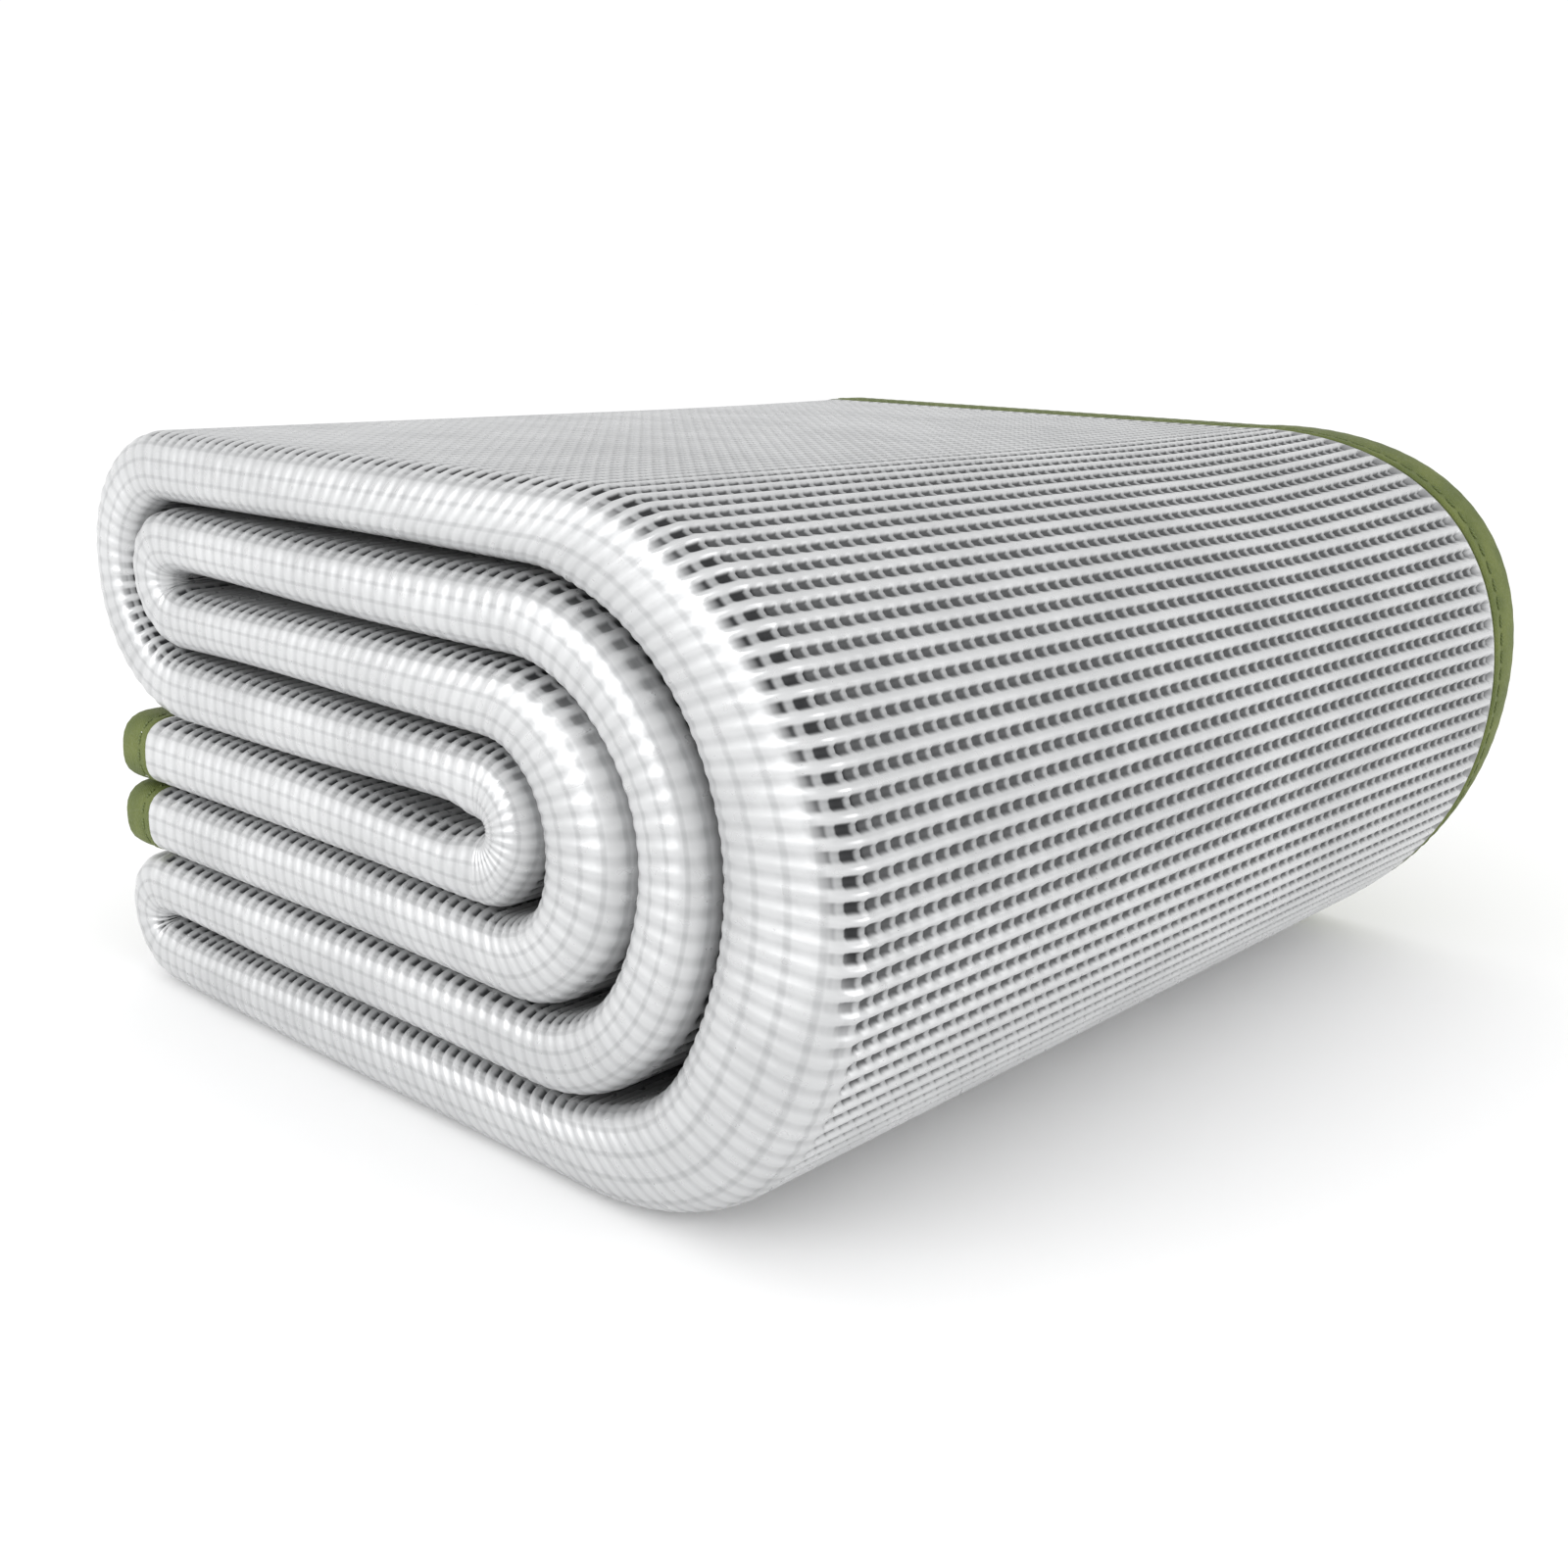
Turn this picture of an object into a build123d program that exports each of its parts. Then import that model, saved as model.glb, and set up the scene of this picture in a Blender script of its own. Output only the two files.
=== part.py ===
"""A film-faced foam sleeping pad, folded into a block.

The pad is one long sheet of foam with a thin film on both faces and a tape
bound over its edges. It is doubled lengthwise, so every layer of the block is
two plies that meet in a crease along the front, and then folded in half three
times, which stacks eight layers.

Frame, in millimetres: +Z up, the block stands on its lowest layer at Z = 0,
its footprint is centred on X = 0 and Y = 0. The nested turns are at +X, the
creases at -Y and the bound long edges at +Y.

Layers from the bottom: 0 and 1 base_wrap, 2 lower_flap, 3 upper_flap,
4 and 7 top_wrap, 5 and 6 middle_wrap.
"""

import os

from build123d import *

# Overall size of the folded block
folded_width = 246.0
folded_depth = 250.0

# The sheet
ply_thickness = 8.0
film_thickness = 0.2

# Room between the two plies of a layer, and between layers
ply_gap = 0.4
layer_gap = 1.0

# Binding tape over every edge, and the thread that holds it
tape_width = 12.0
tape_thickness = 0.5
tape_ramp = 1.5
thread_width = 0.6
thread_depth = 0.25
thread_inset = 3.0

# How far the free ends and the turn of the base stand back from the left face
flap_inset = 8.0
base_turn_inset = 1.2

# How far each nested turn stands back from the outermost one, from the innermost out
turn_setbacks = (29.0, 20.0, 17.0, 0.0)

# Half the length of the spine that the pad opens about
hinge_offset = 15.0

layer_count = 8

# Worked out from the sizes above
half_layer = ply_thickness + ply_gap / 2
pitch = 2 * half_layer + layer_gap
block_height = (layer_count - 1) * pitch + 2 * half_layer
left_x = -folded_width / 2
right_x = folded_width / 2
outer_turn_radius = (layer_count - 1) / 2 * pitch
top_turn_radius = 1.5 * pitch
small_turn_radius = 0.5 * pitch
turn_x = right_x - half_layer - outer_turn_radius
turn_z = half_layer + outer_turn_radius
wrap_turn_x = left_x + half_layer + top_turn_radius
base_turn_x = left_x + base_turn_inset + half_layer + small_turn_radius
flap_end_x = left_x + flap_inset
crease_y = -folded_depth / 2 + half_layer
edge_y = folded_depth / 2 - tape_thickness
tape_start_y = edge_y - tape_width
inner_face = ply_gap / 2
end_thread_x = flap_end_x + tape_width - thread_inset


def layer_z(index):
    """Height of the middle of a layer, counted from the bottom."""
    return half_layer + index * pitch


def bend_x(number):
    """X of the middle of a nested turn, counted from the innermost."""
    return turn_x - turn_setbacks[number]


def run_end_x(index):
    """X where a layer goes over into its nested turn."""
    above = layer_count // 2
    return bend_x(index - above if index >= above else above - 1 - index)


def band(outer, inner, end_y, outer_dip=0.0, inner_dip=0.0):
    """Section of one skin or core of a doubled layer, open towards +Y.

    outer and inner are its distances from the middle of the layer. Past the
    ramp it dips towards the middle of its ply, where the tape squeezes it.
    """
    ramp_y = tape_start_y - tape_ramp
    low_outer = outer - outer_dip
    low_inner = inner + inner_dip
    with BuildSketch() as section:
        with BuildLine():
            Polyline((end_y, low_outer), (tape_start_y, low_outer), (ramp_y, outer), (crease_y, outer))
            ThreePointArc((crease_y, outer), (crease_y - outer, 0), (crease_y, -outer))
            Polyline((crease_y, -outer), (ramp_y, -outer), (tape_start_y, -low_outer), (end_y, -low_outer))
            Line((end_y, -low_outer), (end_y, -low_inner))
            Polyline((end_y, -low_inner), (tape_start_y, -low_inner), (ramp_y, -inner), (crease_y, -inner))
            ThreePointArc((crease_y, -inner), (crease_y - inner, 0), (crease_y, inner))
            Polyline((crease_y, inner), (ramp_y, inner), (tape_start_y, low_inner), (end_y, low_inner))
            Line((end_y, low_inner), (end_y, low_outer))
        make_face()
    return section.sketch


def plain_band(outer, inner, end_y):
    """Section of a skin or core with the same thickness all the way."""
    with BuildSketch() as section:
        with BuildLine():
            Line((end_y, outer), (crease_y, outer))
            ThreePointArc((crease_y, outer), (crease_y - outer, 0), (crease_y, -outer))
            Polyline((crease_y, -outer), (end_y, -outer), (end_y, -inner), (crease_y, -inner))
            ThreePointArc((crease_y, -inner), (crease_y - inner, 0), (crease_y, inner))
            Polyline((crease_y, inner), (end_y, inner), (end_y, outer))
        make_face()
    return section.sketch


def thread_section():
    """Four thread lines, one on each face of each ply's tape."""
    thread_y = tape_start_y + thread_inset
    heights = (half_layer - thread_depth / 2, inner_face + thread_depth / 2)
    with BuildSketch() as section:
        for height in heights:
            with Locations((thread_y, height), (thread_y, -height)):
                Rectangle(thread_width, thread_depth)
    return section.sketch


def tape_section():
    """The tape wrapped over the edge of each ply, with a dent for its threads."""
    ply_middle = (half_layer + inner_face) / 2
    tape_middle_y = tape_start_y + (tape_width + tape_thickness) / 2
    core_middle_y = tape_start_y + tape_width / 2
    with BuildSketch() as section:
        with Locations((tape_middle_y, ply_middle), (tape_middle_y, -ply_middle)):
            Rectangle(tape_width + tape_thickness, half_layer - inner_face)
        with Locations((core_middle_y, ply_middle), (core_middle_y, -ply_middle)):
            Rectangle(tape_width, ply_thickness - 2 * tape_thickness, mode=Mode.SUBTRACT)
        add(thread_section(), mode=Mode.SUBTRACT)
    return section.sketch


def section_plane(x, z):
    """Plane across a layer: its X axis runs from the crease to the bound edges."""
    return Plane(origin=(x, 0, z), x_dir=(0, 1, 0), z_dir=(1, 0, 0))


def sheet_length(section, runs, turns=()):
    """One solid that follows straight runs and half turns of the folded sheet.

    A run is (from X, to X, Z). A turn is (X, Z, radius, side), where side is +1
    for a turn that bulges to +X and -1 for one that bulges to -X.
    """
    with BuildPart() as length:
        for start_x, end_x, z in runs:
            with BuildSketch(section_plane(start_x, z)):
                add(section)
            extrude(amount=end_x - start_x)
        for x, z, radius, side in turns:
            with BuildSketch(section_plane(x, z + side * radius)):
                add(section)
            revolve(axis=Axis((x, 0, z), (0, 1, 0)), revolution_arc=180)
    return length.part


def save(part, name):
    """Label a finished piece and write it."""
    part.label = name
    export_step(part, f"parts/{name}.step")


# What every length of the sheet is made of, as sections across a layer
foam_outer = half_layer - film_thickness
foam_inner = inner_face + film_thickness
sections = {
    "outer_film": band(half_layer, foam_outer, edge_y, tape_thickness, -tape_thickness),
    "foam": band(foam_outer, foam_inner, edge_y, tape_thickness, tape_thickness),
    "inner_film": band(foam_inner, inner_face, edge_y, -tape_thickness, tape_thickness),
    "edge_binding": tape_section(),
    "edge_stitching": thread_section(),
}

# The same skins and core where the tape of a free end squeezes them
end_sections = {
    "outer_film": plain_band(half_layer - tape_thickness, foam_outer - tape_thickness, edge_y),
    "foam": plain_band(foam_outer - tape_thickness, foam_inner + tape_thickness, edge_y),
    "inner_film": plain_band(foam_inner + tape_thickness, inner_face + tape_thickness, edge_y),
    "edge_binding": sections["edge_binding"],
    "edge_stitching": sections["edge_stitching"],
}

# The lengths that turn back on the left: their runs, and the turn that joins them
wraps = {
    "base_wrap": (0, 1, base_turn_x),
    "middle_wrap": (5, 6, wrap_turn_x),
    "top_wrap": (4, 7, wrap_turn_x),
}

# The free ends, by layer
flaps = {"lower_flap": 2, "upper_flap": 3}

# The nested turns on the right, from the innermost out
bends = ("inner_bend", "second_bend", "third_bend", "outer_bend")


def build_wrap(name, lower, upper, start_x):
    """A length of the sheet: two layers and the turn between them on the left."""
    turn_radius = (upper - lower) / 2 * pitch
    middle_z = (layer_z(lower) + layer_z(upper)) / 2
    runs = [(start_x, run_end_x(layer), layer_z(layer)) for layer in (lower, upper)]
    for material, section in sections.items():
        save(sheet_length(section, runs, [(start_x, middle_z, turn_radius, -1)]), f"{name}_{material}")


def build_flap(name, layer):
    """A free end of the sheet: one layer, squeezed where its end is bound."""
    z = layer_z(layer)
    squeeze_x = flap_end_x + tape_width
    for material, section in sections.items():
        with BuildPart() as flap:
            with BuildSketch(section_plane(flap_end_x, z)):
                add(end_sections[material])
            extrude(amount=tape_width)
            with BuildSketch(section_plane(squeeze_x, z)):
                add(section)
            extrude(amount=run_end_x(layer) - squeeze_x)
        save(flap.part, f"{name}_{material}")
    build_end_stitching(name, z)
    build_end_binding(name, z)


def end_thread_bands():
    """The threads of an end binding, one on its outer and one on its inner face."""
    return (
        plain_band(half_layer, half_layer - thread_depth, tape_start_y),
        plain_band(inner_face + thread_depth, inner_face, tape_start_y),
    )


def build_end_stitching(name, z):
    """The two lines of thread that run round the free end."""
    with BuildPart() as stitching:
        for thread in end_thread_bands():
            with BuildSketch(section_plane(end_thread_x, z)):
                add(thread)
            extrude(amount=thread_width)
    save(stitching.part, f"{name}_end_stitching")


def build_end_binding(name, z):
    """The tape over a free end: a leg on each face of the sheet, and the fold over its end."""
    with BuildPart() as binding:
        with BuildSketch(section_plane(flap_end_x - tape_thickness, z)):
            add(plain_band(half_layer, inner_face, folded_depth / 2))
        extrude(amount=tape_thickness)
        with BuildSketch(section_plane(flap_end_x, z)):
            add(plain_band(half_layer, half_layer - tape_thickness, tape_start_y))
            add(plain_band(inner_face + tape_thickness, inner_face, tape_start_y))
        extrude(amount=tape_width)
        for thread in end_thread_bands():
            with BuildSketch(section_plane(end_thread_x, z)):
                add(thread)
            extrude(amount=thread_width, mode=Mode.SUBTRACT)
    save(binding.part, f"{name}_end_binding")


os.makedirs("parts", exist_ok=True)

for wrap_name, (lower_layer, upper_layer, wrap_x) in wraps.items():
    build_wrap(wrap_name, lower_layer, upper_layer, wrap_x)

for flap_name, flap_layer in flaps.items():
    build_flap(flap_name, flap_layer)

for number, bend_name in enumerate(bends):
    bend_radius = (number + 0.5) * pitch
    for material, section in sections.items():
        turn = (bend_x(number), turn_z, bend_radius, 1)
        save(sheet_length(section, [], [turn]), f"{bend_name}_{material}")

# The pad opens about two lines along Y, one at each end of the spine of bends
hinge_x = turn_x + hinge_offset
print("block", folded_width, folded_depth, round(block_height, 3))
print("lower hinge", round(hinge_x, 3), round(turn_z - hinge_offset, 3))
print("upper hinge", round(hinge_x, 3), round(turn_z + hinge_offset, 3))
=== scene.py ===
"""The looks of a folded, film-faced foam sleeping pad.

The pad is one embossed sheet, doubled lengthwise and folded in half three
times. Every piece is swept along the folded path of its length of the sheet,
in millimetres, and is written to its mesh in metres.

A lane is the middle line of one length of the doubled sheet. A point on the
sheet has a place along its lane, a place across it (Y, from the crease in
front to the bound edge behind) and an offset from the lane, which is positive
on the side that lies outside the turns.
"""

import math

import bpy
import numpy as np
from mathutils import Matrix, Vector


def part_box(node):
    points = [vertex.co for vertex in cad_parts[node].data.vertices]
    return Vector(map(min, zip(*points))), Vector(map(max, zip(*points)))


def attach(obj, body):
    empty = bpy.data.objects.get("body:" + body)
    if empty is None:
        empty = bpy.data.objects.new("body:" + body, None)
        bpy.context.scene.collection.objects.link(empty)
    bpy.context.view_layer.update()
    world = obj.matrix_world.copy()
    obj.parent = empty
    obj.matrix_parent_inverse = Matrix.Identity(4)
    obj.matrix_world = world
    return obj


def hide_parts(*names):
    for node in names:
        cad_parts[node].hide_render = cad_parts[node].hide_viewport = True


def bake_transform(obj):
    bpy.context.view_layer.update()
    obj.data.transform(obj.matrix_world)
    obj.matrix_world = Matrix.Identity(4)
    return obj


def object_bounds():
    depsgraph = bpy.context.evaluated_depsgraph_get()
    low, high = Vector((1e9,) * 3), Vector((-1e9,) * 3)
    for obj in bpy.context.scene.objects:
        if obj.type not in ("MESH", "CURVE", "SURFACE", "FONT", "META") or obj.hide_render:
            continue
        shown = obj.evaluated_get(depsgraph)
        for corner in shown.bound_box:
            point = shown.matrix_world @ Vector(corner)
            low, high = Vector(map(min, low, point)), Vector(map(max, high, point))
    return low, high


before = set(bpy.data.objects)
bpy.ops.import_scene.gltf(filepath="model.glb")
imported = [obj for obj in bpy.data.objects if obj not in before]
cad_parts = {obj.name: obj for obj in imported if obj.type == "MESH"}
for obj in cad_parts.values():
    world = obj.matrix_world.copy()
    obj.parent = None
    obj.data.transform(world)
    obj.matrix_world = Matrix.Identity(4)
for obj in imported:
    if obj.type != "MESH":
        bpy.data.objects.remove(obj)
bpy.context.view_layer.update()
cad_box = [list(corner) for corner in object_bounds()]

MM = 0.001


# ---------------------------------------------------------------------------
# Sizes of the folded block, read from the frame, in millimetres


def node_box(node):
    """Lowest and highest corners of a node, in millimetres."""
    low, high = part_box(node)
    return np.array(low) / MM, np.array(high) / MM


block_low, block_high = (np.array(corner) / MM for corner in cad_box)
flap_low, flap_high = node_box("upper_flap_outer_film")
half_layer = (flap_high[2] - flap_low[2]) / 2
pitch = flap_high[2] - node_box("lower_flap_outer_film")[1][2]
turn_x = node_box("outer_bend_outer_film")[0][0]
turn_z = (block_low[2] + block_high[2]) / 2
flap_end_x = flap_low[0]
wrap_turn_x = node_box("top_wrap_outer_film")[0][0] + half_layer + 1.5 * pitch
base_turn_x = node_box("base_wrap_outer_film")[0][0] + half_layer + 0.5 * pitch
crease_y = block_low[1] + half_layer
tape_y = node_box("upper_flap_edge_binding")[0][1]
edge_y = flap_high[1]
tape_thickness = block_high[1] - edge_y
end_tape_x = node_box("upper_flap_end_binding")[1][0]
inner_face = 0.2

# The nested turns from the innermost out, and how far each is shifted from the outermost one
BENDS = ("inner_bend", "second_bend", "third_bend", "outer_bend")
bend_shifts = [node_box(f"{name}_outer_film")[0][0] - turn_x for name in BENDS]


def layer_z(index):
    """Height of the middle of a layer, counted from the bottom."""
    return half_layer + index * pitch


def bend_radius(number):
    """Radius of the middle of a nested turn, counted from the innermost."""
    return (number + 0.5) * pitch


def shift_at(radius):
    """How far a place beside the nested turns is shifted.

    radius is its distance to the middle of the outermost turn.
    """
    outer_faces = [0] + [bend_radius(number) + half_layer for number in range(len(BENDS))]
    return np.interp(radius, outer_faces, [bend_shifts[0], *bend_shifts])


def bend_of(layer):
    """Number of the nested turn that a layer goes over into."""
    return layer - 4 if layer >= 4 else 3 - layer


# The innermost turn is too tight to open on its own
INNERMOST_LEAD = 36.0


def bend_lead(number):
    """How much of its two layers is swept into a nested turn's pieces."""
    return INNERMOST_LEAD if number == 0 else 0.0


# ---------------------------------------------------------------------------
# The embossed grid: cells along the lane and across it

CELL_ALONG = 4.0
CELL_ACROSS = 3.65
EMBOSS_DEPTH = 1.3
GROOVE_SHARE = 0.5
ROW_FULLNESS = 0.65
PIT_FULLNESS = 1.6

# The creases are stretched nearly smooth, except where they face up or outwards:
# the relief grows over a stretch of the surface's slope, given by start and length
CREASE_RELIEF = 0.2
SHOULDER_RELIEF = 1.1
FADE_START = 0.55
FADE_LENGTH = 0.4

# Places within a cell where a mesh has its vertices
FINE = (0.0, 0.13, 0.37, 0.63, 0.87)
COARSE = (0.0,)


def dimple(phase, fullness):
    """0 on a rib and 1 in the middle of a cell. Fuller dimples have thinner ribs."""
    return (0.5 - 0.5 * np.cos(2 * np.pi * phase)) ** (1 / fullness)


def emboss(along, across):
    """Depth of the pattern below the ribs: deep pits, with shallower grooves between rows."""
    row = dimple(along, ROW_FULLNESS)
    pit = dimple(across, PIT_FULLNESS)
    return EMBOSS_DEPTH * row * (GROOVE_SHARE + (1 - GROOVE_SHARE) * pit)


# ---------------------------------------------------------------------------
# Lanes: straight runs and half turns of the folded sheet


class Lane:
    """The middle line of one length: runs, and turns that are clockwise from the front."""

    def __init__(self, start, heading, steps):
        self.steps = []
        x, z = start
        angle = heading
        for kind, size, cells in steps:
            self.steps.append((kind, size, cells, x, z, angle))
            if kind == "run":
                x += size * math.cos(angle)
                z += size * math.sin(angle)
            else:
                radius, sweep = size
                centre_x = x + radius * math.sin(angle)
                centre_z = z - radius * math.cos(angle)
                angle -= sweep
                x = centre_x - radius * math.sin(angle)
                z = centre_z + radius * math.cos(angle)

    def sample(self, places):
        """x, z, outward normal x and z, and cells so far, at these places in each cell."""
        rows = []
        counted = 0
        for kind, size, cells, x, z, angle in self.steps:
            for index in range(cells):
                for place in places:
                    point = self.point(kind, size, x, z, angle, (index + place) / cells)
                    rows.append((*point, counted + index + place))
            counted += cells
        rows.append((*self.point(kind, size, x, z, angle, 1.0), counted))
        return np.array(rows)

    @staticmethod
    def point(kind, size, x, z, angle, share):
        """The place and the outward normal at a share of one step."""
        if kind == "run":
            return (
                x + size * share * math.cos(angle),
                z + size * share * math.sin(angle),
                -math.sin(angle),
                math.cos(angle),
            )
        radius, sweep = size
        turned = angle - sweep * share
        centre_x = x + radius * math.sin(angle)
        centre_z = z - radius * math.cos(angle)
        return (
            centre_x - radius * math.sin(turned),
            centre_z + radius * math.cos(turned),
            -math.sin(turned),
            math.cos(turned),
        )


def cells_in(length):
    """Whole cells that fill a length."""
    return max(1, round(length / CELL_ALONG))


def run(length, number):
    """A straight run that settling shortens along with the shift of its nested turn."""
    return ("run", length, cells_in(length * (1 + bend_shifts[number] / (turn_x - wrap_turn_x))))


def turn(radius, sweep=math.pi, cells=None):
    """A clockwise turn, by default a half one with as many cells as fit."""
    return ("turn", (radius, sweep), cells or cells_in(radius * sweep))


def run_end_x(layer):
    """X where a layer's run ends, before settling."""
    return turn_x - bend_lead(bend_of(layer))


def wrap_lane(lower, upper, left_x):
    """Leftwards along the lower layer, round the turn and back along the upper one."""
    steps = [
        run(run_end_x(lower) - left_x, bend_of(lower)),
        turn((upper - lower) / 2 * pitch),
        run(run_end_x(upper) - left_x, bend_of(upper)),
    ]
    return Lane((run_end_x(lower), layer_z(lower)), math.pi, steps)


def flap_lane(layer, tuck=0.0):
    """Rightwards from the free end, or from a place tucked inside its tape."""
    start_x = flap_end_x + tuck
    return Lane((start_x, layer_z(layer)), 0.0, [run(run_end_x(layer) - start_x, bend_of(layer))])


# Cells in a quarter of each nested turn, from the innermost out
BEND_CELLS = (8, 11, 17, 25)


def half_bend_lane(number, upper):
    """A quarter turn and its lead.

    The upper half starts on its layer, the lower half at the far right.
    """
    radius = bend_radius(number)
    lead = bend_lead(number)
    leads = [run(lead, number)] if lead else []
    quarter = turn(radius, math.pi / 2, BEND_CELLS[number])
    if upper:
        return Lane((turn_x - lead, turn_z + radius), 0.0, [*leads, quarter])
    return Lane((turn_x + radius, turn_z), -math.pi / 2, [quarter, *leads])


# ---------------------------------------------------------------------------
# How the pile has settled: gaps that open between layers, and uneven creases

# Each gap: centre (x, z), reach to the left and right, reach up and down, opening
SETTLED_GAPS = (
    (turn_x - 14, turn_z, 75, 12, 11, 4.0),
    (wrap_turn_x + 6, layer_z(5.5), 9, 100, 10, 3.6),
    (base_turn_x + 8, layer_z(0.5), 9, 60, 8, 2.0),
    (turn_x - 60, layer_z(6.5), 110, 80, 9, 1.7),
    (wrap_turn_x + 40, layer_z(4.5), 60, 110, 9, 1.7),
)
# Each hollow beside a turn: radius of the gap in pitches, angle, reach, opening
TURN_HOLLOWS = (
    (1, -42, 13, 3.2),
    (2, -52, 22, 2.6),
    (3, -52, 24, 3.0),
    (2, 25, 34, 1.6),
    (3, 40, 26, 1.2),
)
GAP_EDGE = 0.45
BELL_DECAY = 2.2

# The bound side lies lower and wider than the creased one
SAG = 6.6
NARROWER_IN_FRONT = 3.4
WIDER_BEHIND = 3.3

# How much squarer the turn of the top wrap is low on the left
CORNER_PUSH = 0.11

# The outermost ply lifts along the bound edge, most of all high on the right, and
# low on the right its last stretch rolls in. Angles are about the nested turns.
FLARE_LIFT = 8.5
FLARE_ANGLE = 42
FLARE_SPREAD = 34
FLARE_REACH = 90.0
FLARE_POWER = 1.6
ROLL_DEPTH = 3.0
ROLL_ANGLE = 20
ROLL_REACH = 22.0

# The creases run a little in and out: two waves, each with its height and its
# length in x and z over 2 pi, that fade out over the front of the block
FIRST_WAVE = (0.5, math.inf, 11, 0.6)
SECOND_WAVE = (0.6, 38, 23, 0.0)
WAVE_REACH = 4 * half_layer


def bell(distance, low_reach, high_reach):
    """1 at 0, fading out to low_reach below it and high_reach above it."""
    scaled = np.where(distance < 0, distance / low_reach, distance / high_reach)
    return np.exp(-scaled * scaled * BELL_DECAY)


def opened_gaps(x, z):
    """How far the gaps between straight layers push a place up."""
    push = np.zeros_like(x)
    for gap_x, gap_z, left, right, reach, opening in SETTLED_GAPS:
        share = bell(x - gap_x, left, right) * bell(z - gap_z, reach, reach)
        push += opening / 2 * share * np.tanh((z - gap_z) / GAP_EDGE)
    return push


def opened_hollows(x, z, radius):
    """How far the hollows beside the nested turns push a place away from their middle."""
    push = np.zeros_like(x)
    for number, angle, reach, opening in TURN_HOLLOWS:
        centre = number * pitch
        hollow_x = turn_x + centre * math.cos(math.radians(angle))
        hollow_z = turn_z + centre * math.sin(math.radians(angle))
        share = bell(np.hypot(x - hollow_x, z - hollow_z), reach, reach)
        push += opening / 2 * share * np.tanh((radius - centre) / GAP_EDGE)
    return push


def flare(y, radius, angle):
    """How far the outermost ply stands off the pile near the bound edge."""
    outermost = np.clip((radius - bend_radius(3)) / half_layer, 0, 1)
    lift = FLARE_LIFT * np.exp(-(((angle - FLARE_ANGLE) / FLARE_SPREAD) ** 2))
    roll = ROLL_DEPTH * (1 - np.tanh((angle - ROLL_ANGLE) / FLARE_SPREAD)) / 2
    lift *= np.clip((y - edge_y) / FLARE_REACH + 1, 0, 1) ** FLARE_POWER
    roll *= np.clip((y - edge_y) / ROLL_REACH + 1, 0, 1) ** 2
    return outermost * (lift - roll)


def corner_push(x, z):
    """How far the turn of the top wrap is pushed out low on the left."""
    left, below = np.minimum(x - wrap_turn_x, 0), np.minimum(z - layer_z(5.5), 0)
    corner = np.where(z > layer_z(3.5), left * below, 0) / (3 * pitch**2)
    return CORNER_PUSH * corner * left


def crease_wave(x, y, z):
    """How far the creases run in and out."""
    wave = sum(
        height * np.sin(x / length_x + z / length_z + start)
        for height, length_x, length_z, start in (FIRST_WAVE, SECOND_WAVE)
    )
    return wave * np.clip(1 - (y - block_low[1]) / WAVE_REACH, 0, 1)


def settle(points):
    """Moves points of the tidy pile to where the soft one lies.

    In the tidy pile, all the nested turns go about one line.
    """
    x, y, z = (points[..., axis] for axis in range(3))
    beside, above = np.maximum(x - turn_x, 0), z - turn_z
    radius = np.hypot(beside, above)
    angle = np.degrees(np.arctan2(above, beside))
    away = (opened_hollows(x, z, radius) + flare(y, radius, angle)) / np.maximum(radius, 1e-6)
    shift = np.clip((x - wrap_turn_x) / (turn_x - wrap_turn_x), 0, 1) * shift_at(radius)
    behind = (y - block_low[1]) / (block_high[1] - block_low[1])
    taper = (NARROWER_IN_FRONT + WIDER_BEHIND) * behind - NARROWER_IN_FRONT
    taper *= np.clip(beside / (block_high[0] - turn_x), 0, 1)
    move_x = away * beside + shift + corner_push(x, z) + taper
    move_z = away * above + opened_gaps(x, z) - SAG * behind * z / block_high[2]
    return np.stack([x + move_x, y + crease_wave(x, y, z), z + move_z], axis=-1)


# ---------------------------------------------------------------------------
# Meshes


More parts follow.
